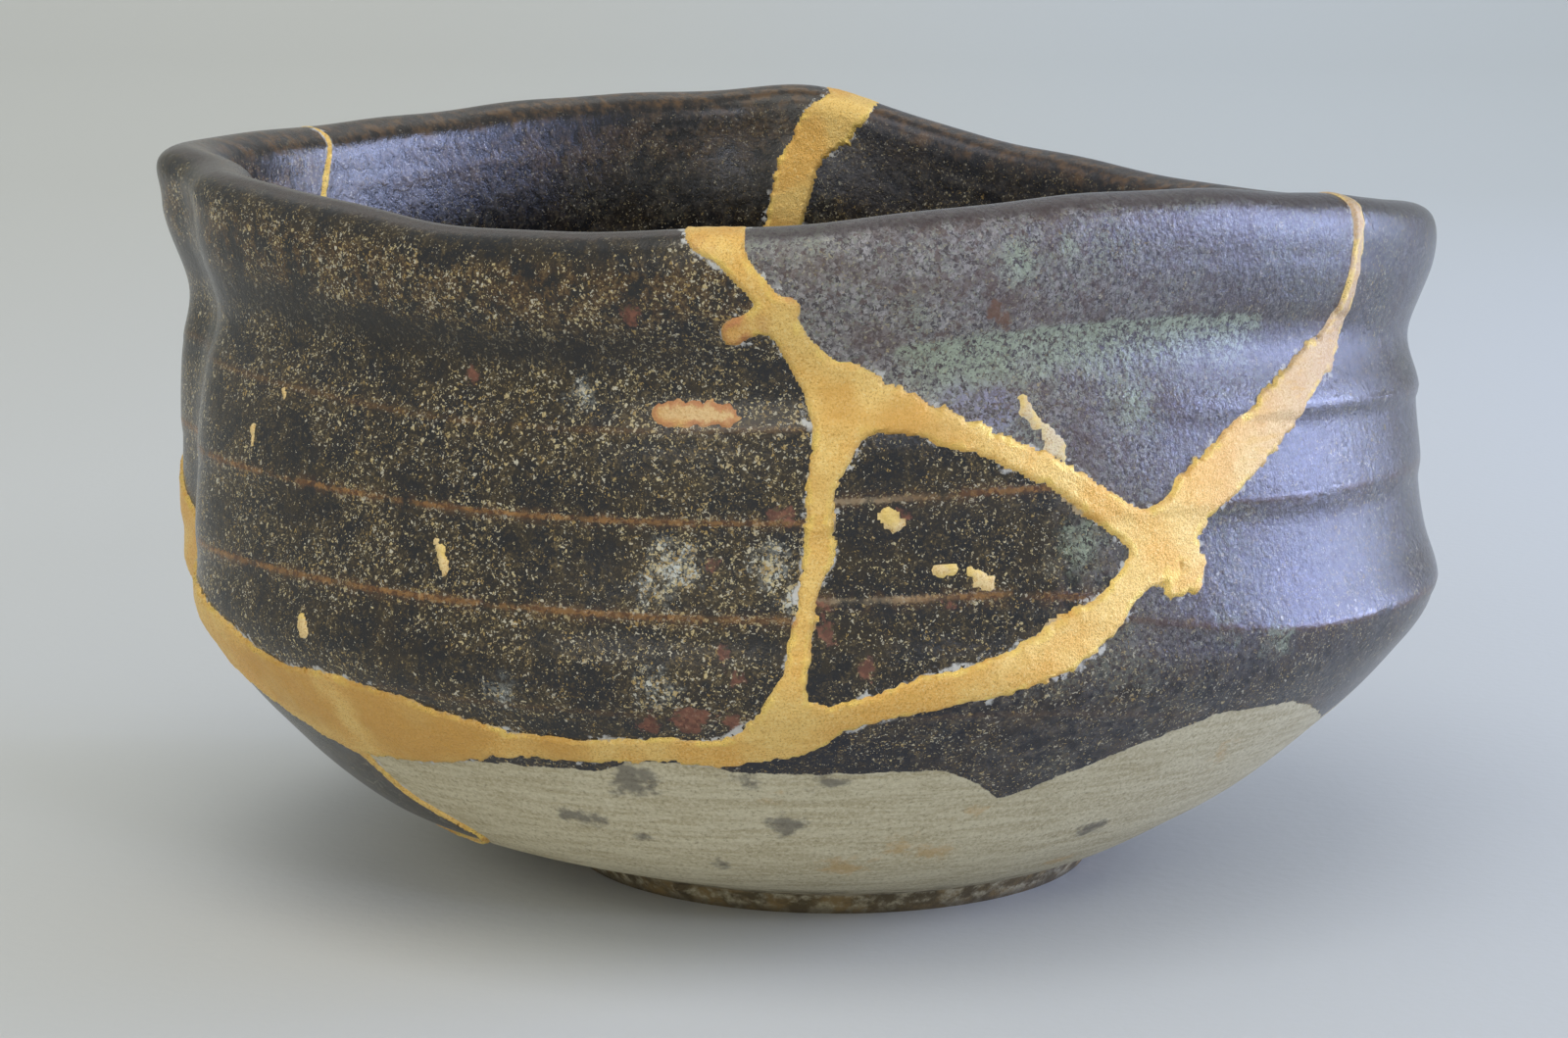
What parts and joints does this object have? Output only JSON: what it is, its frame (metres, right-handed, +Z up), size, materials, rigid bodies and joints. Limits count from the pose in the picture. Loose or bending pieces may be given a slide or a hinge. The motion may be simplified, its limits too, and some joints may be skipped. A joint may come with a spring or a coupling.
{
  "type": "tea bowl",
  "caption": "Squared stoneware tea bowl with an uneven rolled rim, dark glaze and bare clay foot, broken and mended with raised gold lacquer seams",
  "frame": {"origin": "On the table under the middle of the bowl's outline, at the underside of its foot ring", "axes": "+Z is up through the open mouth, +X runs along the bowl's longest width to the right as seen from the front, and the front faces -Y"},
  "size_m": [0.1258, 0.1158, 0.074],
  "materials": {
    "front_left_sherd": "gloss",
    "small_triangle_sherd": "gloss",
    "front_right_rim_sherd": "gloss",
    "base_and_right_sherd": "satin",
    "back_left_sherd": "gloss",
    "gold_lacquer_seams": "satin"
  },
  "bodies": {
    "root": {"front_left_sherd": "front_left_sherd", "small_triangle_sherd": "small_triangle_sherd", "front_right_rim_sherd": "front_right_rim_sherd", "base_and_right_sherd": "base_and_right_sherd", "back_left_sherd": "back_left_sherd", "gold_lacquer_seams": "gold_lacquer_seams"}
  },
  "joints": []
}
